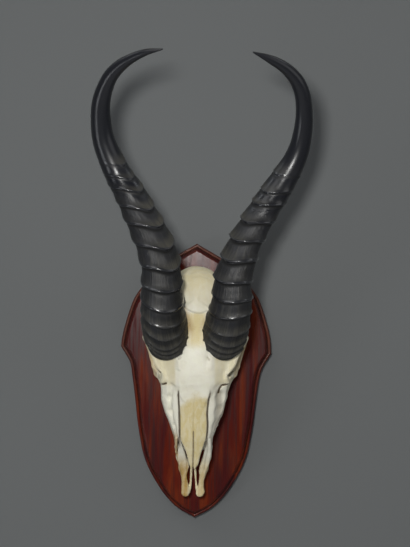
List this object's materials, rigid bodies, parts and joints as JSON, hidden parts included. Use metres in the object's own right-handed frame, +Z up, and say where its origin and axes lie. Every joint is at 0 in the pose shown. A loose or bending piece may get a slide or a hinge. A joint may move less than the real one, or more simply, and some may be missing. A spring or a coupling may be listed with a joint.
{
  "type": "springbok skull",
  "caption": "Springbok skull with a pair of ringed, lyre-shaped horns, mounted face outwards on a moulded wooden shield for a wall.",
  "frame": {"origin": "on the shield's flat back, on its middle line and half way up", "axes": "+Z up the shield towards the horn tips, +Y into the wall, so the face looks along -Y; +X is the viewer's right"},
  "size_m": [0.1884, 0.1908, 0.4128],
  "materials": {
    "shield_wood": "mahogany stain under gloss lacquer",
    "bone": "bleached bone, matt, tan along the nasal bones",
    "horn": "dark horn, satin, ringed and finely striated"
  },
  "bodies": {
    "root": {"shield": "shield_wood", "skull": "bone", "left_horn": "horn", "right_horn": "horn"}
  },
  "joints": []
}
